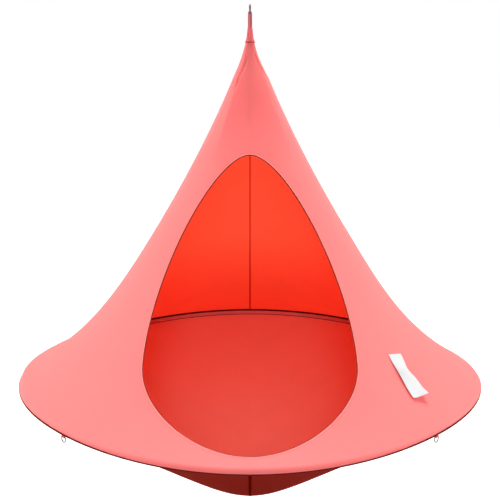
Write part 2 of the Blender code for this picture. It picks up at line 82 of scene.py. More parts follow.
# Studio: large soft lamps high above and behind, weaker ones in front and at the sides, two low ones for
# the rim's ends and a small one that shines in at the doorway. The pale floor lies far below. The camera
# sees the floor and the world as white; as sources of light both are dimmer. Each lamp has its place,
# seen from the point that all of them are aimed at, its size and its power.
FLOOR_DROP = 1.1
FLOOR_SIZE = 60.0
FLOOR_SHADE = (0.15, 0.15, 0.15, 1.0)
FLOOR_GREY = (0.45, 0.45, 0.45, 1.0)
FLOOR_GLOW = 0.95
WHITE = (1.0, 1.0, 1.0, 1.0)
WORLD_STRENGTH = 0.125
LAMP_AIM = Vector((0.0, 0.0, RING_Z + 0.4))
LAMPS = {
    "high_lamp": ((0.0, 2.0, 14.0), 6.0, 1650.0),
    "rear_lamp": ((0.0, 5.0, 12.0), 6.0, 980.0),
    "front_lamp": ((0.0, -5.5, 8.0), 4.0, 75.0),
    "door_lamp": ((0.0, -7.0, 3.0), 1.5, 55.0),
    "low_front_lamp": ((0.0, -6.0, -1.9), 3.0, 255.0),
    "left_lamp": ((-9.0, 0.0, 2.5), 4.0, 395.0),
    "right_lamp": ((9.0, 0.0, 2.5), 4.0, 395.0),
    "low_left_lamp": ((-8.3, -1.6, -0.3), 3.0, 190.0),
    "low_right_lamp": ((8.3, -1.6, -0.3), 3.0, 190.0),
}


def set_inputs(node, values):
    """Sets inputs of a shader node, which are given by their names."""
    for socket, value in values.items():
        node.inputs[socket].default_value = value


def white_to_the_eye(nodes, seen, dim, output_socket):
    """Shows one shader where the camera or a reflection looks, and a dim one to the light that bounces."""
    links = nodes.id_data.links
    path = nodes.new("ShaderNodeLightPath")
    looked_at = path.outputs["Is Camera Ray"]
    for ray in ("Is Glossy Ray", "Is Transmission Ray"):
        either = nodes.new("ShaderNodeMath")
        either.operation = "MAXIMUM"
        links.new(looked_at, either.inputs[0])
        links.new(path.outputs[ray], either.inputs[1])
        looked_at = either.outputs[0]
    mix = nodes.new("ShaderNodeMixShader")
    links.new(looked_at, mix.inputs["Fac"])
    links.new(dim.outputs[0], mix.inputs[1])
    links.new(seen.outputs[0], mix.inputs[2])
    links.new(mix.outputs[0], output_socket)


world = bpy.data.worlds.new("studio")
scene.world = world
world.use_nodes = True
world_nodes = world.node_tree.nodes
dim_world = world_nodes["Background"]
set_inputs(dim_world, {"Color": WHITE, "Strength": WORLD_STRENGTH})
seen_world = world_nodes.new("ShaderNodeBackground")
set_inputs(seen_world, {"Color": WHITE, "Strength": 1.0})
white_to_the_eye(world_nodes, seen_world, dim_world, world_nodes["World Output"].inputs["Surface"])

for name, (place, size, power) in LAMPS.items():
    light = bpy.data.lights.new(name, "AREA")
    light.shape = "DISK"
    light.size = size
    light.energy = power
    lamp = bpy.data.objects.new(name, light)
    lamp.location = LAMP_AIM + Vector(place)
    lamp.rotation_euler = (-Vector(place)).to_track_quat("-Z", "Y").to_euler()
    scene.collection.objects.link(lamp)

bpy.ops.mesh.primitive_plane_add(size=FLOOR_SIZE, location=(0.0, 0.0, cad_box[0].z - FLOOR_DROP))
floor_plane = bpy.context.object
floor_plane.name = "studio_floor"
floor_paint = bpy.data.materials.new("studio_floor")
floor_paint.use_nodes = True
floor_nodes = floor_paint.node_tree.nodes
seen_floor = floor_nodes["Principled BSDF"]
set_inputs(seen_floor, {
    "Base Color": FLOOR_GREY,
    "Roughness": 0.9,
    "Specular IOR Level": 0.0,
    "Emission Color": WHITE,
    "Emission Strength": FLOOR_GLOW,
})
dim_floor = floor_nodes.new("ShaderNodeBsdfDiffuse")
set_inputs(dim_floor, {"Color": FLOOR_SHADE})
white_to_the_eye(floor_nodes, seen_floor, dim_floor, floor_nodes["Material Output"].inputs["Surface"])
floor_plane.data.materials.append(floor_paint)

# Canopy: one sheet of taut canvas, sewn as a cone, that flares out to the hoop, goes round it on the
# outside and ends in the seam with the seat. The doorway is cut out of its front as a teardrop.
RING_RADIUS = 0.900
RING_SQUARENESS = RING_RADIUS * 0.018
LAP_RADIUS = 0.0155
CLOTH = 0.0012
LEAVE_ANGLE = radians(60)
SEAT_SEAM_ANGLE = radians(-150)
CANOPY_HEIGHT = 1.340
COLLAR_RADIUS = 0.0155
CANOPY_BOW = 1.23
FLARE_WIDTH = 0.160
SQUARE_FADE = 0.167
COLUMNS = 240
ROWS = 124
ROW_CROWDING = 1.3
WRAP_STEPS = 24
FOOT_HEIGHT = LAP_RADIUS * sin(LEAVE_ANGLE)
CONE_SPREAD = RING_RADIUS + LAP_RADIUS * cos(LEAVE_ANGLE) - COLLAR_RADIUS - FLARE_WIDTH
CONE_HEIGHT = CANOPY_HEIGHT - FOOT_HEIGHT
FLARE_FADE = FLARE_WIDTH / (tan(LEAVE_ANGLE) - CONE_SPREAD * CANOPY_BOW / CONE_HEIGHT)
CORAL = (0.97, 0.222, 0.214)
# The canopy's inner side is the same coral canvas. Its redder, less blue colour is painted glow of the
# light that comes through the cloth into the cabin.
PAINTED_GLOW_RED = (0.97, 0.237, 0.107)


def canopy_radius(height):
    """Outer face of the canopy: a slightly bowed cone that flares out to the hoop."""
    share = min(max((CANOPY_HEIGHT - height) / CONE_HEIGHT, 0.0), 1.0)
    flare = FLARE_WIDTH * exp(-(height - FOOT_HEIGHT) / FLARE_FADE)
    return COLLAR_RADIUS + CONE_SPREAD * share ** CANOPY_BOW + flare


# The cloth's pull on the neck makes the cone's front a little flat between two creases, each given by its
# angle from the front. Short pinches run down from the collar, each from an angle and height to another.
# At the left, more towards the rear, the cloth puffs out a little above the hoop.
CREASE_LEFT = radians(-41)
CREASE_RIGHT = radians(50)
CREASE_LOW = 0.88
CREASE_FULL = 1.08
FRONT_FLAT = 0.11
CREASE_PROUD = 0.055
CREASE_FADE = 1.5
SWELL = 0.0070
SWELL_TO_THE_RIGHT = 0.5
SWELL_RISE = (0.25, 0.60)
SWELL_FALL = (1.17, 1.29)
PUFF = 0.022
PUFF_ANGLE = radians(-94)
PUFF_SPREAD = radians(28)
PUFF_RISE = (0.012, 0.028)
PUFF_FALL = (0.038, 0.080)
PINCH_WIDTH = 0.0032
PINCHES = (
    (radians(42), 1.290, radians(66), 1.195, 0.0085),
    (radians(-18), 1.275, radians(-40), 1.205, 0.0045),
    (radians(-41), 1.215, radians(-41), 1.155, 0.0085),
    (radians(52), 1.160, radians(50), 1.070, 0.0035),
)


def between(low, high, value):
    """Share of the way from low to high, with soft ends."""
    share = min(max((value - low) / (high - low), 0.0), 1.0)
    return share * share * (3 - 2 * share)


def pull(angle, height):
    """How far the cloth's pull brings the canopy out or in, at an angle from the front and a height above
    the hoop. Between the flange and the collar the cloth also swells a little, more so to the right."""
    fade = exp(-max(height - FOOT_HEIGHT, 0.0) / SQUARE_FADE)
    out = RING_SQUARENESS * cos(4 * angle) * fade
    swelling = between(*SWELL_RISE, height) * (1 - between(*SWELL_FALL, height))
    out += SWELL * (1 + SWELL_TO_THE_RIGHT * sin(angle)) * swelling
    puffed = between(*PUFF_RISE, height) * (1 - between(*PUFF_FALL, height))
    out += PUFF * exp(-((angle - PUFF_ANGLE) / PUFF_SPREAD) ** 2) * puffed
    if height < CREASE_LOW or abs(angle) > pi / 2:
        return out
    radius = canopy_radius(height)
    crease = CREASE_RIGHT if angle > 0 else CREASE_LEFT
    if abs(angle) < abs(crease):
        lie = -FRONT_FLAT + (FRONT_FLAT + CREASE_PROUD) * (angle / crease) ** 2
    else:
        lie = CREASE_PROUD * (1 - (abs(angle) - abs(crease)) / (pi / 2 - abs(crease))) ** CREASE_FADE
    out += lie * radius * between(CREASE_LOW, CREASE_FULL, height)
    for top_angle, top, low_angle, low, depth in PINCHES:
        share = (top - height) / (top - low)
        if 0 < share < 1:
            aside = (angle - top_angle - (low_angle - top_angle) * share) * radius
            out -= depth * sqrt(sin(pi * share)) * exp(-(aside / PINCH_WIDTH) ** 2)
    return out


def pick(piece):
    """Makes a piece the only selected one, and the active one."""
    bpy.ops.object.select_all(action="DESELECT")
    piece.select_set(True)
    bpy.context.view_layer.objects.active = piece


def face_outwards():
    """Turns all faces of the active piece outwards, and leaves edit mode."""
    bpy.ops.object.mode_set(mode="EDIT")
    bpy.ops.mesh.select_all(action="SELECT")
    bpy.ops.mesh.normals_make_consistent()
    bpy.ops.object.mode_set(mode="OBJECT")


def turned_shell(name, outline):
    """Round shell: a circle extruded and resized ring by ring. outline has each ring's half width, half
    depth and height above the hoop."""
    wide, deep, height = outline[0]
    bpy.ops.mesh.primitive_circle_add(vertices=COLUMNS, radius=1.0, location=(0.0, 0.0, RING_Z + height))
    shell = bpy.context.object
    shell.name = name
    bpy.ops.object.mode_set(mode="EDIT")
    bpy.ops.transform.resize(value=(wide, deep, 1.0), center_override=(0.0, 0.0, RING_Z + height))
    for next_wide, next_deep, next_height in outline[1:]:
        move = {"value": (0.0, 0.0, next_height - height)}
        bpy.ops.mesh.extrude_region_move(TRANSFORM_OT_translate=move)
        scale = (next_wide / wide, next_deep / deep, 1.0)
        bpy.ops.transform.resize(value=scale, center_override=(0.0, 0.0, RING_Z + next_height))
        wide, deep, height = next_wide, next_deep, next_height
    face_outwards()
    bpy.ops.object.transform_apply()
    return shell


def seen_from_front(place):
    """Angle from the front towards +X, and height above the hoop, of a place."""
    return atan2(place.x, -place.y), place.z - RING_Z


def square_off(piece):
    """Moves each point of a shell out or in with the cloth's pull."""
    for vertex in piece.data.vertices:
        angle, height = seen_from_front(vertex.co)
        radius = hypot(vertex.co.x, vertex.co.y)
        if radius > 0.001:
            vertex.co.xy *= 1 + pull(angle, height) / radius


def apply_modifiers(piece):
    pick(piece)
    for modifier in list(piece.modifiers):
        bpy.ops.object.modifier_apply(modifier=modifier.name)


def thicken(piece, thickness, offset=-1.0, inner_slot=0):
    """Gives a sheet its thickness, with another material slot for its inner side."""
    wall = piece.modifiers.new("thickness", "SOLIDIFY")
    wall.thickness = thickness
    wall.offset = offset
    wall.material_offset = inner_slot
    apply_modifiers(piece)


def smooth(piece, angle=40):
    pick(piece)
    bpy.ops.object.shade_smooth_by_angle(angle=radians(angle))


WEAVE_UP = 0.8
WEAVE_IN = 0.6
WEAVE_APART = 2.0


def lay_weave(piece):
    """UV map in metres: round the cloth from the middle of its right or left half, and up its slope, which
    is taken as that of a middling steep cone. The two halves lie apart."""
    layer = piece.data.uv_layers.active or piece.data.uv_layers.new(name="weave")
    for face in piece.data.polygons:
        side = 1 if face.center.x >= 0 else -1
        for index in face.loop_indices:
            place = piece.data.vertices[piece.data.loops[index].vertex_index].co
            angle = atan2(side * place.x, -place.y)
            radius = hypot(place.x, place.y)
            up_slope = place.z * WEAVE_UP - radius * WEAVE_IN
            layer.data[index].uv = (side * ((angle - pi / 2) * radius + WEAVE_APART), up_slope)


def give(piece, *materials):
    """Adds materials to a piece."""
    for material in materials:
        piece.data.materials.append(material)


def sew_shell(piece, material, thickness, offset=0.0, angle=40):
    """Gives a shell of cloth its thickness, weave, material and smooth shading."""
    thicken(piece, thickness, offset=offset)
    lay_weave(piece)
    give(piece, material)
    smooth(piece, angle)


SLUB_NOISE = {"Scale": 6.0, "Detail": 6.0, "Roughness": 0.6}
YARN_HEIGHT = 0.0004
FUZZ_ROUGHNESS = 0.4
FUZZ_TINT = (1.0, 0.85, 0.83, 1.0)


def new_group(name, inputs, outputs):
    """Node group that takes places and some values, and gives values."""
    group = bpy.data.node_groups.new(name, "ShaderNodeTree")
    group.interface.new_socket("Vector", in_out="INPUT", socket_type="NodeSocketVector")
    for way, sockets in (("INPUT", inputs), ("OUTPUT", outputs)):
        for socket in sockets:
            group.interface.new_socket(socket, in_out=way, socket_type="NodeSocketFloat")
    return group, group.nodes.new("NodeGroupInput"), group.nodes.new("NodeGroupOutput")


def weave_group():
    """Plain weave: threads over and under each other, with the height and tone they give."""
    group, given, out = new_group("plain weave", ("Threads", "Slub"), ("Height", "Tone"))
    nodes, links = group.nodes, group.links

    def math(operation, *values):
        node = nodes.new("ShaderNodeMath")
        node.operation = operation
        for socket, value in zip(node.inputs, values):
            if isinstance(value, float):
                socket.default_value = value
            else:
                links.new(value, socket)
        return node.outputs[0]

    split = nodes.new("ShaderNodeSeparateXYZ")
    links.new(given.outputs["Vector"], split.inputs[0])
    warp, weft = [math("MULTIPLY", split.outputs[way], given.outputs["Threads"]) for way in "XY"]
    humps = [math("ABSOLUTE", math("SINE", math("MULTIPLY", yarn, pi))) for yarn in (warp, weft)]
    crossing = math("ADD", math("FLOOR", warp), math("FLOOR", weft))
    over = math("ABSOLUTE", math("MODULO", crossing, 2.0))
    under = math("SUBTRACT", 1.0, over)
    height = math("ADD", math("MULTIPLY", humps[0], over), math("MULTIPLY", humps[1], under))
    links.new(height, out.inputs["Height"])
    slub = nodes.new("ShaderNodeTexNoise")
    set_inputs(slub, SLUB_NOISE)
    links.new(given.outputs["Vector"], slub.inputs["Vector"])
    uneven = math("MULTIPLY", math("SUBTRACT", slub.outputs["Fac"], 0.5), given.outputs["Slub"])
    links.new(math("ADD", 1.0, uneven), out.inputs["Tone"])
    return group


PLAIN_WEAVE = weave_group()


def toned_surface(name, colour, group, laid_on, bump, bump_height):
    """Material with a node group that tones its colour and raises its surface. Gives it with its nodes."""
    material = bpy.data.materials.new(name)
    material.use_nodes = True
    nodes, links = material.node_tree.nodes, material.node_tree.links
    shader = nodes["Principled BSDF"]
    where = nodes.new("ShaderNodeTexCoord")
    pattern = nodes.new("ShaderNodeGroup")
    pattern.node_tree = group
    links.new(where.outputs[laid_on], pattern.inputs["Vector"])
    tint = nodes.new("ShaderNodeVectorMath")
    tint.operation = "SCALE"
    tint.inputs[0].default_value = colour
    links.new(pattern.outputs["Tone"], tint.inputs["Scale"])
    links.new(tint.outputs[0], shader.inputs["Base Color"])
    relief = nodes.new("ShaderNodeBump")
    set_inputs(relief, {"Strength": bump, "Distance": bump_height})
    links.new(pattern.outputs["Height"], relief.inputs["Height"])
    links.new(relief.outputs[0], shader.inputs["Normal"])
    return material, shader, pattern, tint


def canvas(name, colour, threads=800.0, slub=0.10, sheen=0.35, gloss=0.2, rough=0.85, bump=0.25,
           lets_through=0.0, laid_on="UV"):
    """Woven canvas: its colour, yarn and fuzz, and how much of the light it lets through."""
    material, shader, weave, tint = toned_surface(name, colour, PLAIN_WEAVE, laid_on, bump, YARN_HEIGHT)
    set_inputs(shader, {"Roughness": rough, "Specular IOR Level": gloss})
    set_inputs(shader, {"Sheen Weight": sheen, "Sheen Roughness": FUZZ_ROUGHNESS, "Sheen Tint": FUZZ_TINT})
    set_inputs(weave, {"Threads": threads, "Slub": slub})
    if lets_through:
        nodes, links = material.node_tree.nodes, material.node_tree.links
        through = nodes.new("ShaderNodeBsdfTranslucent")
        links.new(tint.outputs[0], through.inputs["Color"])
        mix = nodes.new("ShaderNodeMixShader")
        mix.inputs["Fac"].default_value = lets_through
        links.new(shader.outputs[0], mix.inputs[1])
        links.new(through.outputs[0], mix.inputs[2])
        links.new(mix.outputs[0], nodes["Material Output"].inputs["Surface"])
    return material


CORAL_CANVAS = canvas("coral canvas", CORAL, sheen=0.3, gloss=0.55, rough=0.6, lets_through=0.30)
CORAL_INSIDE_PAINTED_GLOW = canvas("coral canvas inside, painted glow", PAINTED_GLOW_RED, sheen=0.0, gloss=0.05, lets_through=0.45)


def stages(first, last, steps, crowding=1.0):
    """Values in steps from the first to the last, with both. They can be crowded towards the first."""
    return [first + (last - first) * (k / steps) ** crowding for k in range(steps + 1)]


def arc(x, z, radius, start, end, steps):
    """Points along an arc round a middle, with both its ends."""
    return [(x + radius * cos(turn), z + radius * sin(turn)) for turn in stages(start, end, steps)]


def round_the_hoop(radius, low_turn, top_turn, steps):
    """Outline of cloth round the hoop at a radius, between two angles above the outward level."""
    return [(out, out, up) for out, up in arc(RING_RADIUS, 0.0, radius, low_turn, top_turn, steps)]


wrap = round_the_hoop(LAP_RADIUS, SEAT_SEAM_ANGLE, LEAVE_ANGLE, WRAP_STEPS)
cone_heights = stages(FOOT_HEIGHT, CANOPY_HEIGHT, ROWS, ROW_CROWDING)[1:]
cone = [(canopy_radius(height), canopy_radius(height), height) for height in cone_heights]
canopy = turned_shell("canopy", wrap + cone)
square_off(canopy)
give(canopy, CORAL_CANVAS, CORAL_INSIDE_PAINTED_GLOW)
thicken(canopy, CLOTH, inner_slot=1)

DOOR_SILL = 0.033
DOOR_WIDEST = 0.215
DOOR_TOP = 0.925
DOOR_HALF_WIDTH = 0.380
SILL_HANDLE = 0.170
SIDE_HANDLE_DOWN = 0.115
SIDE_HANDLE_UP = 0.230
TOP_HANDLE = 0.135
DOOR_STEPS = 60
CUT_FROM = -RING_RADIUS * 1.2
CUT_DEPTH = RING_RADIUS * 1.15


def curve_point(a, b, c, d, t):
    """Point on a cubic curve from a to d with handles b and c."""
    weights = ((1 - t) ** 3, 3 * (1 - t) ** 2 * t, 3 * (1 - t) * t ** 2, t ** 3)
    return Vector([sum(w * p[k] for w, p in zip(weights, (a, b, c, d))) for k in (0, 1)])


def door_outline():
    """Doorway seen from the front, as widths and heights, from the sill up the right side and back."""
    sill, side, top = (0.0, DOOR_SILL), (DOOR_HALF_WIDTH, DOOR_WIDEST), (0.0, DOOR_TOP)
    lower = (sill, (SILL_HANDLE, DOOR_SILL), (DOOR_HALF_WIDTH, DOOR_WIDEST - SIDE_HANDLE_DOWN), side)
    upper = (side, (DOOR_HALF_WIDTH, DOOR_WIDEST + SIDE_HANDLE_UP), (TOP_HANDLE, DOOR_TOP), top)
    right = [curve_point(*lower, k / DOOR_STEPS) for k in range(DOOR_STEPS)]
    right += [curve_point(*upper, k / DOOR_STEPS) for k in range(DOOR_STEPS + 1)]
    return right + [Vector((-point.x, point.y)) for point in reversed(right[1:-1])]


door = door_outline()
bpy.ops.mesh.primitive_circle_add(vertices=len(door), radius=1.0)
door_cutter = bpy.context.object
for vertex, point in zip(door_cutter.data.vertices, door):
    vertex.co = (point.x, CUT_FROM, RING_Z + point.y)
bpy.ops.object.mode_set(mode="EDIT")
bpy.ops.mesh.edge_face_add()
bpy.ops.mesh.extrude_region_move(TRANSFORM_OT_translate={"value": (0.0, CUT_DEPTH, 0.0)})
face_outwards()
cut = canopy.modifiers.new("doorway", "BOOLEAN")
cut.object = door_cutter
cut.operation = "DIFFERENCE"
cut.solver = "EXACT"
apply_modifiers(canopy)
bpy.data.objects.remove(door_cutter, do_unlink=True)
lay_weave(canopy)
smooth(canopy)
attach(canopy, "tent")
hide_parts("canopy_left_panel", "canopy_right_panel")


def on_canopy(angle, height, lift=0.0):
    """Point on the canopy's outer face, or above it by lift."""
    step = 0.0005
    radius = canopy_radius(height) + pull(angle, height)
    higher = canopy_radius(height + step) + pull(angle, height + step)
    tilt = atan((radius - higher) / step)
    return around(angle, radius + lift * cos(tilt), height + lift * sin(tilt))


def off_canopy(angle, height, lift=0.0):
    """Point above the canopy by lift, and the direction off the cloth there."""
    place = on_canopy(angle, height, lift)
    return place, (on_canopy(angle, height, lift + 0.01) - place).normalized()


def door_angle(point):
    """Angle round the cone of a point of the doorway's outline."""
    angle = 0.0
    for _ in range(6):
        angle = asin(point.x / (canopy_radius(point.y) + pull(angle, point.y)))
    return angle


# Rolled hem of the doorway: the cut edge is folded twice to the inside and sewn down.
# It makes a soft lip along the edge, with a flat band behind it and one row of stitches. The lip is the
# canopy's canvas painted paler, as a painted highlight where the rolled edge catches the light. Its side
# towards the opening is painted near black, as painted shade of the hem's edge.
LIP_RADIUS = 0.0031
LIP_FLATNESS = 0.8
LIP_SIDES = 12
HEM_STEPS = 256
HEM_WIDTH = 0.009
HEM_CLOTH = 0.0010
HEM_GAP = 0.0004
HEM_EDGE_OUT = 0.0004
HEM_EDGE_UP = 0.0003
# Painted highlight on the lip's canvas, and painted shade on its edging towards the opening.
HEM_PAINTED_HIGHLIGHT = canvas("hem canvas, painted highlight", (0.97, 0.32, 0.31), lets_through=0.1)
HEM_PAINTED_SHADE = canvas("hem painted shade", (0.25, 0.026, 0.015), threads=1200.0, sheen=0.0, gloss=0.02)


def spaced(points, count):
    """Points at even distances round a closed path."""
    path = points + points[:1]
    runs = [0.0]
    for a, b in zip(path, path[1:]):
        runs.append(runs[-1] + (b - a).length)
    places, k = [], 0
    for goal in stages(0.0, runs[-1], count)[:-1]:
        while k < len(runs) - 2 and runs[k + 1] < goal:
            k += 1
        places.append(path[k].lerp(path[k + 1], (goal - runs[k]) / (runs[k + 1] - runs[k])))
    return places


def swept_band(name, frames, section):
    """Closed band: a torus whose rings are laid one by one on the frames, with the section's outline."""
    bpy.ops.mesh.primitive_torus_add(major_segments=len(frames), minor_segments=len(section))
    band = bpy.context.object
    band.name = name
    for index, vertex in enumerate(band.data.vertices):
        place, aside, up = frames[index // len(section)]
        across, rise = section[index % len(section)]
        vertex.co = place + aside * across + up * rise
    face_outwards()
    return band


def door_frames(count, outwards=0.0):
    """Places along the doorway's edge, each with its directions away from the doorway and off the cloth.
    outwards moves them away from the doorway."""
    flat = spaced([Vector((p.x, p.y, 0.0)) for p in door], count)
    frames = []
    for k in range(count):
        ahead, behind = flat[(k + 1) % count], flat[k - 1]
        angle = door_angle(flat[k])
        place, up = off_canopy(angle, flat[k].y)
        run = on_canopy(door_angle(ahead), ahead.y) - on_canopy(door_angle(behind), behind.y)
        aside = run.cross(up).normalized()
        frames.append((place + aside * outwards, aside, up))
    return frames


circle = arc(0.0, 0.0, LIP_RADIUS, 0.0, 2 * pi, LIP_SIDES)[:-1]
lip = [(across, rise * LIP_FLATNESS - CLOTH / 2) for across, rise in circle]
door_lip = swept_band("door_lip", door_frames(HEM_STEPS), lip)
give(door_lip, HEM_PAINTED_HIGHLIGHT, HEM_PAINTED_SHADE)
for face in door_lip.data.polygons:
    if all(lip[index % len(lip)][0] < LIP_RADIUS / 10 for index in face.vertices):
        face.material_index = 1
band_top = -CLOTH - HEM_GAP
band_low = band_top - HEM_CLOTH
band_edge = (HEM_WIDTH + HEM_EDGE_OUT, band_low + HEM_EDGE_UP)
band = [(0.0, band_top), (HEM_WIDTH, band_top), band_edge, (HEM_WIDTH, band_low), (0.0, band_low)]
door_hem = swept_band("door_hem_band", door_frames(HEM_STEPS), band)
give(door_hem, CORAL_INSIDE_PAINTED_GLOW)
pick(door_hem)
door_lip.select_set(True)
bpy.ops.object.join()
door_hem.name = "door_hem_cloth"
lay_weave(door_hem)
smooth(door_hem, 60)
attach(door_hem, "tent")
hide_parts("door_hem")

# Stitches of the hem: one row of polyester thread, a stitch every 4.5 mm, sewn by machine through the
# canopy and the hem's band. They are sunk a little into the cloth they hold.
STITCH_PITCH = 0.0045
STITCH_LENGTH = 0.0034
STITCH_INSET = 0.008
STITCH_LIFT = 0.0001
STITCH_PLACES = 420
THREAD = 0.0007
CORAL_THREAD = canvas("coral thread", (0.66, 0.11, 0.10), threads=3000.0, bump=0.1, laid_on="Object")


def stitch_row(name, places, thread):
    """Row of stitches round a closed path: one stitch repeated along it, then bent to it."""
    path_data = bpy.data.curves.new(name + "_path", "CURVE")
    path_data.dimensions = "3D"
    spline = path_data.splines.new("POLY")
    spline.points.add(len(places) - 1)
    for point, place in zip(spline.points, places):
        point.co = (*place, 1.0)
    spline.use_cyclic_u = True
    path = bpy.data.objects.new(name + "_path", path_data)
    scene.collection.objects.link(path)
    length = sum((b - a).length for a, b in zip(places, places[1:] + places[:1]))
    bpy.ops.mesh.primitive_cylinder_add(
        vertices=6, radius=THREAD / 2, depth=STITCH_LENGTH, rotation=(0.0, pi / 2, 0.0),
        location=(STITCH_PITCH / 2, 0.0, 0.0),
    )
    row = bpy.context.object
    row.name = name
    bpy.ops.object.transform_apply()
    bpy.ops.object.mode_set(mode="EDIT")
    bpy.ops.mesh.select_all(action="SELECT")
    bpy.ops.mesh.bevel(offset=THREAD * 0.25, segments=1)
    bpy.ops.object.mode_set(mode="OBJECT")
    repeat = row.modifiers.new("stitches", "ARRAY")
    repeat.count = int(length / STITCH_PITCH)
    repeat.use_relative_offset = False
    repeat.use_constant_offset = True
    repeat.constant_offset_displace = (length / repeat.count, 0.0, 0.0)
    follow = row.modifiers.new("path", "CURVE")
    follow.object = path
    apply_modifiers(row)
    bpy.data.objects.remove(path, do_unlink=True)
    give(row, thread)
    smooth(row, 60)
    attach(row, "tent")
    return row


door_line = [place + up * STITCH_LIFT for place, aside, up in door_frames(STITCH_PLACES, STITCH_INSET)]
door_stitches = stitch_row("door_stitches", door_line, CORAL_THREAD)

# Sleeve lining: the inner half of the cloth sleeve that holds the hoop, seen from inside the cabin.
# It runs from the crease under the canopy over the hoop's inner side down to the seat's seam.
LINING_RADIUS = 0.0142
LINING_CLOTH = 0.0008
LINING_STEPS = 16
LINING_TOP = radians(64)
LINING_LOW = radians(209)
lining_outline = round_the_hoop(LINING_RADIUS, LINING_LOW, LINING_TOP, LINING_STEPS)
sleeve_lining = turned_shell("sleeve_lining", lining_outline)
square_off(sleeve_lining)
# The lining's paler mauve pink is painted light from the doorway that falls on it.
SLEEVE_PAINTED_LIGHT = canvas("sleeve canvas, painted light", (0.66, 0.270, 0.290), sheen=0.1)
sew_shell(sleeve_lining, SLEEVE_PAINTED_LIGHT, LINING_CLOTH, offset=1.0)
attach(sleeve_lining, "tent")
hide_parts("rim_sleeve_left", "rim_sleeve_right")

# Bindings of the sleeve's two seams: narrow tape over the crease below the canopy, and a thin one where
# the seat's cloth is sewn in. Their near-black colour is painted shade, for the shadow in that crease and
# at that seam.
CREASE_BINDING = (radians(70), radians(132))
SEAT_BINDING = (radians(198), radians(206))
BINDING_RADIUS = LINING_RADIUS + 0.0012
BINDING_CLOTH = 0.0006
BINDING_STEPS = 8
# Near-black tape colour: painted shade of the crease and the seam.
BINDING_PAINTED_SHADE = canvas("binding tape, painted shade", (0.085, 0.004, 0.004), threads=1200.0, sheen=0.0, gloss=0.02)
for name, (top_turn, low_turn) in (("crease_binding", CREASE_BINDING), ("seat_binding", SEAT_BINDING)):
    binding = turned_shell(name, round_the_hoop(BINDING_RADIUS, low_turn, top_turn, BINDING_STEPS))
    square_off(binding)
    sew_shell(binding, BINDING_PAINTED_SHADE, BINDING_CLOTH)
    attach(binding, "tent")

# Seat: heavy canvas in two halves, cut as a rounded cone and sewn into the sleeve's lower inner side.
# Hanging loads pull it taut, so it keeps its round nose and its straight sides.
SEAT_CLOTH = 0.0015
SEAT_DEPTH = 0.511
SEAT_BELLY = 0.082
SEAT_NOSE = 0.200
SEAT_ROWS = 60
SEAT_EDGE = 0.0149
# Painted light and shade: both sides are one coral canvas. The inner side is coloured paler, as painted
# light that comes in at the doorway, and the outer side dark, as painted shade under the seat.
SEAT_RED_PAINTED_LIGHT = (0.97, 0.420, 0.340)
SEAT_UNDER_PAINTED_SHADE = (0.29, 0.0085, 0.0013)
SEAT_INSIDE_PAINTED_LIGHT = canvas("seat canvas, painted light", SEAT_RED_PAINTED_LIGHT, sheen=0.05, gloss=0.05)
SEAT_OUTSIDE_PAINTED_SHADE = canvas("seat canvas outside, painted shade", SEAT_UNDER_PAINTED_SHADE, sheen=0.0, gloss=0.02)

seat_reach = RING_RADIUS - SEAT_EDGE * cos(pi + SEAT_SEAM_ANGLE)
seat_drop = SEAT_EDGE * sin(pi + SEAT_SEAM_ANGLE)
nose_span = sqrt(seat_reach ** 2 + SEAT_NOSE ** 2) - SEAT_NOSE


def seat_height(radius):
    """Height of the seat's cloth at a distance from the middle."""
    rise = (sqrt(radius ** 2 + SEAT_NOSE ** 2) - SEAT_NOSE) / nose_span
    return -SEAT_DEPTH + (SEAT_DEPTH - seat_drop) * rise + SEAT_BELLY * rise * (1 - rise)


seat_radii = stages(seat_reach, 0.0, SEAT_ROWS)[:-1]
seat_outline = [(radius, radius, seat_height(radius)) for radius in seat_radii]
seat = turned_shell("seat", seat_outline)
bpy.ops.object.mode_set(mode="EDIT")
bpy.ops.mesh.select_all(action="DESELECT")
bpy.ops.object.mode_set(mode="OBJECT")
last_radius = seat_outline[-1][0] * 1.01
for vertex in seat.data.vertices:
    vertex.select = hypot(vertex.co.x, vertex.co.y) < last_radius
bpy.ops.object.mode_set(mode="EDIT")
bpy.ops.mesh.extrude_region_move(TRANSFORM_OT_translate={"value": (0.0, 0.0, 0.0)})
bpy.ops.mesh.merge(type="CENTER")
face_outwards()
for vertex in seat.data.vertices:
    angle, height = seen_from_front(vertex.co)
    radius = hypot(vertex.co.x, vertex.co.y)
    if radius < 0.001:
        vertex.co.z = RING_Z + seat_height(0.0)
    else:
        vertex.co.xy *= 1 + RING_SQUARENESS * cos(4 * angle) * (radius / seat_reach) ** 2 / radius
give(seat, SEAT_OUTSIDE_PAINTED_SHADE, SEAT_INSIDE_PAINTED_LIGHT)
thicken(seat, SEAT_CLOTH, offset=0.0, inner_slot=1)
lay_weave(seat)
smooth(seat)
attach(seat, "tent")
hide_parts("seat_left_panel", "seat_right_panel")

# Lap: a strip of the seat's canvas goes on from the seat's edge round the hoop's underside and covers the
# canopy's edge there. It is coloured near black, as painted shade under the hoop. From outside it shows as
# a thin dark line below the rim, wider at the sides, where the seat's pull twists the sleeve a little.
LAP_TOP = radians(-26)
LAP_STEPS = 18
LAP_LIFT = 0.0005
LAP_CLOTH = 0.0007
LAP_TWIST = 0.34
# Near-black colour: painted shade under the hoop.
LAP_PAINTED_SHADE = canvas("lap canvas, painted shade", (0.16, 0.008, 0.005), sheen=0.0, gloss=0.02)

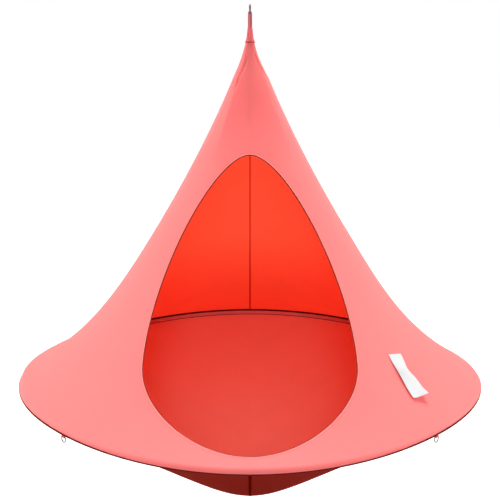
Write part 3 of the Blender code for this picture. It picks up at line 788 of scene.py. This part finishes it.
lap_radius = LAP_RADIUS + LAP_LIFT
lap_outline = round_the_hoop(lap_radius, SEAT_SEAM_ANGLE, LAP_TOP, LAP_STEPS)
seat_lap = turned_shell("seat_lap", lap_outline)
for vertex in seat_lap.data.vertices:
    angle, height = seen_from_front(vertex.co)
    turn = atan2(height, hypot(vertex.co.x, vertex.co.y) - RING_RADIUS)
    if turn > 0:
        turn -= 2 * pi
    turn += LAP_TWIST * sin(angle) ** 2 * (turn - SEAT_SEAM_ANGLE)
    vertex.co = around(angle, RING_RADIUS + lap_radius * cos(turn), lap_radius * sin(turn))
square_off(seat_lap)
sew_shell(seat_lap, LAP_PAINTED_SHADE, LAP_CLOTH)
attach(seat_lap, "tent")

# Seams of the canopy: its halves are joined by flat seams, at the front above the doorway and all the way
# down the back. Outside, the folded edge stands a little proud; inside, a dark tape covers the seam.
SEAM_WIDTH = 0.007
SEAM_RISE = 0.0006
SEAM_END = 0.004
TAPE_WIDTH = 0.008
TAPE_CLOTH = 0.0010
TAPE_GAP = 0.0004
TAPE_TOP = CANOPY_HEIGHT - 0.012
FRONT_TAPE_LOW = DOOR_TOP + HEM_WIDTH + 0.002
BACK_TAPE_LOW = 0.020
SEAM_STEPS = 60
TAPE_RED = canvas("seam tape", (0.70, 0.068, 0.032), threads=1200.0, sheen=0.0, gloss=0.05)


def laid_strip(name, frames, width, thickness, material, columns=4, lie=None):
    """Strip of cloth laid along frames, each a place with its directions across the strip and off it. lie
    gives how far a point lies across and off the cloth, from its shares of the width and the length."""
    bpy.ops.mesh.primitive_grid_add(x_subdivisions=columns, y_subdivisions=len(frames) - 1, size=1.0)
    piece = bpy.context.object
    piece.name = name
    for vertex in piece.data.vertices:
        share, along = vertex.co.x, vertex.co.y + 0.5
        place, aside, up = frames[round(along * (len(frames) - 1))]
        across, rise = lie(share, along) if lie else (share * width, 0.0)
        vertex.co = place + aside * across + up * rise
    scale = sum((b[0] - a[0]).length for a, b in zip(frames, frames[1:]))
    for corner in piece.data.uv_layers.active.data:
        corner.uv = (corner.uv[0] * width, corner.uv[1] * scale)
    face_outwards()
    thicken(piece, thickness, offset=0.0)
    soften = piece.modifiers.new("soft edges", "BEVEL")
    soften.width = thickness * 0.3
    soften.segments = 2
    soften.limit_method = "ANGLE"
    apply_modifiers(piece)
    give(piece, material)
    smooth(piece, 50)
    return piece


def seam_frames(angle, low, high, lift):
    """Places up a seam of the canopy, at a lift off its outer face."""
    aside = Vector((cos(angle), sin(angle), 0.0))
    frames = []
    for height in stages(low, high, SEAM_STEPS, ROW_CROWDING):
        place, up = off_canopy(angle, height, lift)
        frames.append((place, aside, up))
    return frames


def hoop_frames(angle, lift):
    """Places round the hoop's outside at an angle, from the lap up to where the cone begins."""
    aside = Vector((cos(angle), sin(angle), 0.0))
    middle = around(angle, RING_RADIUS + pull(angle, 0.0), 0.0)
    frames = []
    for turn in stages(LAP_TOP, LEAVE_ANGLE, WRAP_STEPS)[:-1]:
        up = Vector((sin(angle) * cos(turn), -cos(angle) * cos(turn), sin(turn)))
        frames.append((middle + up * (LAP_RADIUS + lift), aside, up))
    return frames


lift = SEAM_RISE / 2
seam_top = CANOPY_HEIGHT - SEAM_END
seams_up = {
    "front_seam": seam_frames(0.0, DOOR_TOP + SEAM_END, seam_top, lift),
    "sill_seam": hoop_frames(0.0, lift) + seam_frames(0.0, FOOT_HEIGHT, DOOR_SILL - SEAM_END, lift),
    "back_seam": hoop_frames(pi, lift) + seam_frames(pi, FOOT_HEIGHT, seam_top, lift),
}
for name, frames in seams_up.items():
    seam = laid_strip(name, frames, SEAM_WIDTH, SEAM_RISE, CORAL_CANVAS)
    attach(seam, "tent")

for name, angle, low in (("front_tape", 0.0, FRONT_TAPE_LOW), ("back_tape", pi, BACK_TAPE_LOW)):
    frames = seam_frames(angle, low, TAPE_TOP, -CLOTH - TAPE_GAP - TAPE_CLOTH / 2)
    tape = laid_strip(name, frames, TAPE_WIDTH, TAPE_CLOTH, TAPE_RED)
    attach(tape, "tent")
    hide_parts(name.split("_")[0] + "_seam_tape")

# Seam of the seat: it runs from the front of the hoop over the nose to the back. A tape covers it below,
# and a thin raised fold shows inside.
SEAT_TAPE_WIDTH = 0.010
SEAT_TAPE_RED = canvas("seat tape", (0.16, 0.004, 0.002), threads=1200.0, sheen=0.0, gloss=0.0)
SEAT_FOLD_WIDTH = 0.006
SEAT_FOLD_CLOTH = 0.0006
SEAT_SEAM_REACH = 0.998
SEAT_SEAM_STEPS = 90


def seat_frames(lift):
    """Places along the seat's seam from front to back, at a lift above the middle of its cloth."""
    frames = []
    step = 0.001
    for along in stages(-SEAT_SEAM_REACH, SEAT_SEAM_REACH, SEAT_SEAM_STEPS):
        radius = abs(along) * seat_reach
        slope = (seat_height(radius + step) - seat_height(max(radius - step, 0.0))) / (2 * step)
        slope = slope if radius > step else 0.0
        square = RING_SQUARENESS * along ** 2
        side = 1 if along > 0 else -1
        up = Vector((0.0, -side * slope, 1.0)).normalized()
        place = Vector((0.0, side * (radius + square), RING_Z + seat_height(radius))) + up * lift
        frames.append((place, Vector((1.0, 0.0, 0.0)), up))
    return frames


tape_frames = seat_frames(-SEAT_CLOTH / 2 - TAPE_GAP - TAPE_CLOTH / 2)
seat_tape = laid_strip("seat_tape", tape_frames, SEAT_TAPE_WIDTH, TAPE_CLOTH, SEAT_TAPE_RED)
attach(seat_tape, "tent")
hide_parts("seat_seam_tape")
fold_frames = seat_frames(SEAT_CLOTH / 2 + SEAT_FOLD_CLOTH / 2)
seat_fold = laid_strip("seat_fold", fold_frames, SEAT_FOLD_WIDTH, SEAT_FOLD_CLOTH, SEAT_INSIDE_PAINTED_LIGHT)
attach(seat_fold, "tent")

# Label: a bare strip of white woven tape, sewn to the canopy near the hoop at the front right.
# It bows a little off the cloth, and its lower end stands up.
LABEL_WIDTH = 0.075
LABEL_LENGTH = 0.195
LABEL_CLOTH = 0.0008
LABEL_ANGLE = radians(52.05)
LABEL_HEIGHT = 0.145
LABEL_TURN = radians(14)
LABEL_STEPS = 36
LABEL_WHITE = canvas("label weave", (0.58, 0.59, 0.59), threads=1500.0, slub=0.04, sheen=0.0, gloss=0.1)
LABEL_GAP = 0.0012
LABEL_BOW = 0.0050
LABEL_END_LIFT = 0.007
LABEL_CROWN = 0.0012
LABEL_WAIST = 0.0135
LABEL_WAIST_PLACE = 0.36
LABEL_WAIST_LENGTH = 0.17
LABEL_BUCKLE = 0.006
LABEL_CORNER_LIFT = 0.024
LABEL_CORNER_IN = 0.015


def walk_up(height, distance):
    """Height reached by going a distance up the canopy's slope."""
    steps, step = 20, 0.001
    for _ in range(steps):
        slope = (canopy_radius(height - step) - canopy_radius(height + step)) / (2 * step)
        height += distance / steps / sqrt(1 + slope ** 2)
    return height


label_frames = []
for share in stages(0.0, 1.0, LABEL_STEPS):
    along = LABEL_LENGTH * (0.5 - share)
    height = walk_up(LABEL_HEIGHT, along * cos(LABEL_TURN))
    angle = LABEL_ANGLE + along * sin(LABEL_TURN) / canopy_radius(height)
    bow = LABEL_BOW * sin(pi * share) ** 2
    place, up = off_canopy(angle, height, LABEL_GAP + bow + LABEL_END_LIFT * share ** 6)
    level = Vector((cos(angle), sin(angle), 0.0))
    aside = (Matrix.Rotation(-LABEL_TURN, 3, up) @ level).normalized()
    label_frames.append((place, aside, up))


def label_lie(share, along):
    """The label's right edge is drawn in at its waist, where the cloth buckles. Its lower corner lifts."""
    waist = exp(-((along - LABEL_WAIST_PLACE) / LABEL_WAIST_LENGTH) ** 2)
    right = share + 0.5
    across = share * LABEL_WIDTH - (LABEL_WAIST * waist + LABEL_CORNER_IN * along ** 3) * right
    rise = LABEL_CROWN * (1 - (2 * share) ** 2) + LABEL_BUCKLE * waist * sin(pi * right)
    return across, rise + LABEL_CORNER_LIFT * right ** 2 * along ** 3


label = laid_strip(
    "blank_label", label_frames, LABEL_WIDTH, LABEL_CLOTH, LABEL_WHITE, columns=12, lie=label_lie,
)
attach(label, "tent")
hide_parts("side_label")

# Neck: a cap of gathered canvas is stitched round the tops of the canopy's halves, and narrows to a flat
# sleeve that covers the lifting webbing.
NECK_CANVAS = canvas("neck canvas", (0.62, 0.162, 0.182), threads=900.0, sheen=0.15)
COLLAR_CANVAS = canvas("collar canvas", (0.82, 0.150, 0.165), threads=900.0, sheen=0.15)
CAP_TOP = CANOPY_HEIGHT + 0.048
CAP_STEPS = 16
CAP_FOLDS = 16
CAP_CLOTH = 0.0010
CAP_GAP = 0.0012
NECK_TOP = CANOPY_HEIGHT + 0.0975
NECK_HALF_WIDTH = 0.0080
NECK_HALF_DEPTH = 0.0160
NECK_OVERLAP = 0.003
NECK_STEPS = 12
NECK_FOLDS = 10
FOLD_DEPTH = 0.05
# The cap's hem round the canopy's top, as half widths, half depths and heights from that top.
CAP_HEM = (
    (0.0183, 0.0183, -0.008),
    (0.0174, 0.0176, -0.003),
    (0.0166, 0.0172, 0.0),
    (0.0160, 0.0171, 0.002),
)


def gather(piece, folds, low, high):
    """Presses shallow upright folds into a piece between two heights, fading towards both."""
    for vertex in piece.data.vertices:
        angle, height = seen_from_front(vertex.co)
        if low < height < high:
            fade = sin(pi * (height - low) / (high - low))
            vertex.co.xy *= 1 + FOLD_DEPTH * fade * cos(folds * angle)


cap_outline = [(wide, deep, CANOPY_HEIGHT + rise) for wide, deep, rise in CAP_HEM]
hem_wide, hem_deep, hem_top = cap_outline[-1]
for share in stages(0.0, 1.0, CAP_STEPS)[1:]:
    wide = hem_wide + (NECK_HALF_WIDTH + CAP_GAP - hem_wide) * sqrt(share)
    deep = hem_deep + (NECK_HALF_DEPTH + CAP_GAP - hem_deep) * between(0.0, 1.0, share)
    cap_outline.append((wide, deep, hem_top + (CAP_TOP - hem_top) * share))
cap = turned_shell("neck_cap", cap_outline)
gather(cap, CAP_FOLDS, CANOPY_HEIGHT + 0.001, CAP_TOP)
sew_shell(cap, COLLAR_CANVAS, CAP_CLOTH, offset=-1.0, angle=50)
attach(cap, "tent")
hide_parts("apex_cap")

neck_low = CAP_TOP - NECK_OVERLAP
neck_heights = stages(neck_low, NECK_TOP, NECK_STEPS)
neck_outline = [(NECK_HALF_WIDTH, NECK_HALF_DEPTH, height) for height in neck_heights]
neck_sleeve = turned_shell("neck_sleeve", neck_outline)
gather(neck_sleeve, NECK_FOLDS, neck_low - NECK_OVERLAP, NECK_TOP)
sew_shell(neck_sleeve, NECK_CANVAS, CAP_CLOTH, offset=-1.0, angle=50)
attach(neck_sleeve, "tent")
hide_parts("neck_cover")

# Seam of the neck: the rose canvas of the sleeve that covers the webbing has its edges turned together and
# sewn flat, down the front right. The seam's strip is coloured dark mauve, as painted shade of the neck's
# right side.
NECK_SEAM_WIDTH = 0.0075
NECK_SEAM_CLOTH = 0.0008
NECK_SEAM_SIDE = 0.0051
NECK_SEAM_END = 0.001
# Dark mauve: painted shade of the neck's right side.
NECK_SEAM_PAINTED_SHADE = canvas("neck seam canvas, painted shade", (0.52, 0.070, 0.095), threads=900.0, sheen=0.05)

seam_depth = NECK_HALF_DEPTH * sqrt(1 - (NECK_SEAM_SIDE / NECK_HALF_WIDTH) ** 2)
seam_up = Vector((NECK_SEAM_SIDE / NECK_HALF_WIDTH ** 2, -seam_depth / NECK_HALF_DEPTH ** 2, 0.0))
seam_up.normalize()
seam_aside = Vector((-seam_up.y, seam_up.x, 0.0))
neck_seam_frames = []
for height in stages(CAP_TOP + NECK_SEAM_END, NECK_TOP - NECK_SEAM_END, NECK_STEPS):
    place = Vector((NECK_SEAM_SIDE, -seam_depth, RING_Z + height)) + seam_up * NECK_SEAM_CLOTH
    neck_seam_frames.append((place, seam_aside, seam_up))
neck_seam_shaded = laid_strip("neck_seam_shaded", neck_seam_frames, NECK_SEAM_WIDTH, NECK_SEAM_CLOTH, NECK_SEAM_PAINTED_SHADE)
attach(neck_seam_shaded, "tent")

# Collar tape: narrow dark woven tape that is laid round the cap's hem and hides its edge. One row of
# stitches goes through it, the hem and the canopy.
COLLAR_TAPE_RADIUS = 0.0189
COLLAR_TAPE_NARROWS = 0.0004
COLLAR_TAPE_LOW = CANOPY_HEIGHT - 0.0085
COLLAR_TAPE_TOP = CANOPY_HEIGHT - 0.0050
COLLAR_TAPE_CLOTH = 0.0005
COLLAR_RED = canvas("collar tape", (0.42, 0.030, 0.040), threads=1200.0, sheen=0.0)
COLLAR_THREAD = canvas("collar thread", (0.50, 0.05, 0.06), threads=3000.0, bump=0.1, laid_on="Object")
COLLAR_STITCH_LIFT = 0.0004
COLLAR_PLACES = 48

tape_middle = (COLLAR_TAPE_LOW + COLLAR_TAPE_TOP) / 2
tape_rings = (
    (COLLAR_TAPE_RADIUS, COLLAR_TAPE_LOW),
    (COLLAR_TAPE_RADIUS, tape_middle),
    (COLLAR_TAPE_RADIUS - COLLAR_TAPE_NARROWS, COLLAR_TAPE_TOP),
)
collar_tape = turned_shell("collar_tape", [(radius, radius, height) for radius, height in tape_rings])
sew_shell(collar_tape, COLLAR_RED, COLLAR_TAPE_CLOTH)
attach(collar_tape, "tent")

stitch_radius = COLLAR_TAPE_RADIUS + COLLAR_STITCH_LIFT
turns = stages(0.0, 2 * pi, COLLAR_PLACES)[:-1]
collar_line = [around(turn, stitch_radius, tape_middle) for turn in turns]
collar_stitches = stitch_row("collar_stitches", collar_line, COLLAR_THREAD)

# Lifting webbing: one strap of heavy woven webbing, 25 mm wide, passes over the bar of the link.
# Its two legs run down inside the neck and are sewn to the insides of the canopy's halves.
link_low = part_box("hanging_link")[0]
WEBBING_WIDTH = 0.025
WEBBING_THICKNESS = 0.0030
WEBBING_GAP = 0.0006
WIRE_GAP = 0.0003
LINK_WIRE = 0.008
BAR_Z = link_low.z + LINK_WIRE / 2
WEBBING_BEND = LINK_WIRE / 2 + WIRE_GAP + WEBBING_THICKNESS / 2
WEBBING_LOW = CANOPY_HEIGHT - 0.130
WEBBING_IN = 0.030
LEG_STEPS = 12
IN_STEPS = 5
WEBBING = canvas("webbing", (0.70, 0.20, 0.20), threads=420.0, slub=0.15, sheen=0.1, bump=0.8)


def upright_frames(path, place, closed=False):
    """Frames along a path that is drawn in a place's upright plane: each point, with its directions across
    the plane and off the path."""
    turned = place.to_3x3()
    frames = []
    for k, (x, z) in enumerate(path):
        ahead = path[(k + 1) % len(path)] if closed else path[min(k + 1, len(path) - 1)]
        behind = path[k - 1] if closed else path[max(k - 1, 0)]
        run = Vector((ahead[0] - behind[0], 0.0, ahead[1] - behind[1])).normalized()
        off = turned @ Vector((run.z, 0.0, -run.x))
        frames.append((place @ Vector((x, 0.0, z)), turned @ Vector((0.0, 1.0, 0.0)), off))
    return frames


leg = []
for height in stages(WEBBING_LOW, CANOPY_HEIGHT, LEG_STEPS):
    inside = sqrt((canopy_radius(height) - CLOTH) ** 2 - (WEBBING_WIDTH / 2) ** 2)
    leg.append((inside - WEBBING_GAP - WEBBING_THICKNESS / 2, RING_Z + height))
collar_reach, collar_top = leg[-1]
for share in stages(0.0, 1.0, IN_STEPS)[1:]:
    reach = WEBBING_BEND + (collar_reach - WEBBING_BEND) * (1 - share)
    leg.append((reach, collar_top + WEBBING_IN * share))
over_bar = arc(0.0, BAR_Z, WEBBING_BEND, 0.0, pi, 16)
strap_frames = upright_frames(leg + over_bar + [(-x, z) for x, z in reversed(leg)], Matrix.Identity(4))
strap = laid_strip("lifting_strap", strap_frames, WEBBING_WIDTH, WEBBING_THICKNESS, WEBBING, columns=6)
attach(strap, "tent")
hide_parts("lifting_webbing")

# Hanging link: round steel wire bent to a D and welded at the middle of its straight bar, where the weld
# leaves a low bead. The wire's marks have their scale and the values that they go between.
LINK_BAR = 0.026
LINK_CORNER = 0.0045
LINK_RISE = 0.0285
BEAD_RISE = 0.12
BEAD_REACH = 0.35
WIRE_MARKS = {"Roughness": (900.0, 0.28, 0.45), "Tone": (120.0, 0.85, 1.1)}
SCRATCH_HEIGHT = 0.0001


def wire_group():
    """Drawn steel wire: fine lengthwise scratches and dull patches, as roughness and height."""
    group, given, out = new_group("drawn wire", (), ("Roughness", "Height", "Tone"))
    nodes, links = group.nodes, group.links
    for output, (scale, low, high) in WIRE_MARKS.items():
        noise = nodes.new("ShaderNodeTexNoise")
        set_inputs(noise, {"Scale": scale, "Detail": 4.0})
        links.new(given.outputs["Vector"], noise.inputs["Vector"])
        span = nodes.new("ShaderNodeMapRange")
        set_inputs(span, {"To Min": low, "To Max": high})
        links.new(noise.outputs["Fac"], span.inputs["Value"])
        links.new(span.outputs[0], out.inputs[output])
        if output == "Roughness":
            links.new(noise.outputs["Fac"], out.inputs["Height"])
    return group


DRAWN_WIRE = wire_group()


def bare_metal(name, colour):
    """Bare drawn metal with its scratches and dull patches."""
    material, shader, marks, tint = toned_surface(name, colour, DRAWN_WIRE, "Object", 0.2, SCRATCH_HEIGHT)
    shader.inputs["Metallic"].default_value = 1.0
    material.node_tree.links.new(marks.outputs["Roughness"], shader.inputs["Roughness"])
    return material


STEEL = bare_metal("plain steel", (0.105, 0.085, 0.09))


def bent_wire(name, bar, corner, rise, wire, upward, place):
    """Closed wire link: a straight bar, two corners and an arch, which rises or, with upward -1, hangs.
    place puts the bar's middle in the world."""
    half = bar / 2 + corner
    path = arc(bar / 2, corner, corner, -pi / 2, 0.0, 8)
    path += arc(0.0, rise - half, half, 0.0, pi, 32)
    path += arc(-bar / 2, corner, corner, pi, 1.5 * pi, 8)
    path += [(bar * (k / 6 - 0.5), 0.0) for k in range(1, 6)]
    frames = upright_frames([(x, z * upward) for x, z in path], place, closed=True)
    section = arc(0.0, 0.0, wire / 2, 0.0, 2 * pi, 16)[:-1]
    piece = swept_band(name, frames, section)
    for vertex in piece.data.vertices:
        away = place.inverted() @ vertex.co
        if abs(away.z) < wire and away.length < wire * 1.5:
            off_bar = Vector((0.0, away.y, away.z)).normalized()
            bead = wire * BEAD_RISE * exp(-(away.x / (wire * BEAD_REACH)) ** 2)
            vertex.co = place @ (away + off_bar * bead)
    give(piece, STEEL)
    smooth(piece, 60)
    return piece


link_place = Matrix.Translation((0.0, 0.0, BAR_Z)) @ Matrix.Rotation(pi / 2, 4, "Z")
link = bent_wire("steel_link", LINK_BAR, LINK_CORNER, LINK_RISE, LINK_WIRE, 1, link_place)
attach(link, "link")
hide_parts("hanging_link")

# Tie-downs: four small steel rings for guy lines hang under the hoop, each in a folded tab of narrow
# webbing that is sewn into the sleeve's lower side. A side of the tab's fold is given by places out from
# the middle and up from the ring's bar.
TAB_WIDTH = 0.016
TAB_PLY = 0.0016
TAB_DROP = 0.0095
TAB_SUNK = 0.0012
TAB_SIDE = [(TAB_PLY * 0.6, 0.0052), (TAB_PLY * 0.56, 0.0075), (TAB_PLY * 0.56, TAB_DROP)]
TAB_TURNS = (radians(55), radians(-235))
TIE_WIRE = 0.004
TIE_BAR = 0.019
TIE_CORNER = 0.0025
TIE_RISE = 0.021
TIE_PLACES = {"front_right": 48, "rear_right": 132, "rear_left": 228, "front_left": 312}
TAB_WEBBING = canvas("tab webbing", (0.70, 0.15, 0.13), threads=700.0, slub=0.15, sheen=0.1, bump=0.6)

eye = TIE_WIRE / 2 + WIRE_GAP + TAB_PLY / 2
fold = TAB_SIDE[::-1] + arc(0.0, 0.0, eye, *TAB_TURNS, 12) + [(-out, up) for out, up in TAB_SIDE]
for place_name, degrees in TIE_PLACES.items():
    angle = radians(degrees)
    bar_middle = around(angle, RING_RADIUS + pull(angle, 0.0), TAB_SUNK - LAP_RADIUS - TAB_DROP)
    tie_place = Matrix.Translation(bar_middle) @ Matrix.Rotation(angle, 4, "Z")
    ring = bent_wire("ring_" + place_name, TIE_BAR, TIE_CORNER, TIE_RISE, TIE_WIRE, -1, tie_place)
    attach(ring, "tie_" + place_name)
    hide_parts("tie_ring_" + place_name)
    tab_frames = upright_frames(fold, tie_place @ Matrix.Rotation(-pi / 2, 4, "Z"))
    tab = laid_strip("tab_" + place_name, tab_frames, TAB_WIDTH, TAB_PLY, TAB_WEBBING)
    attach(tab, "tent")
    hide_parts("tie_tab_" + place_name)

# Hoop: four bent tubes of drawn aluminium, which are pushed together over short ferrules of the same
# metal. Nothing else holds them but the sleeve, whose cloth is drawn tight round them.
TUBE_METAL = bare_metal("drawn aluminium", (0.78, 0.78, 0.79))
for k in range(1, 5):
    for node in (f"ring_tube_{k}", f"ring_ferrule_{k}"):
        metal_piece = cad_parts[node]
        metal_piece.data.materials.clear()
        metal_piece.data.materials.append(TUBE_METAL)
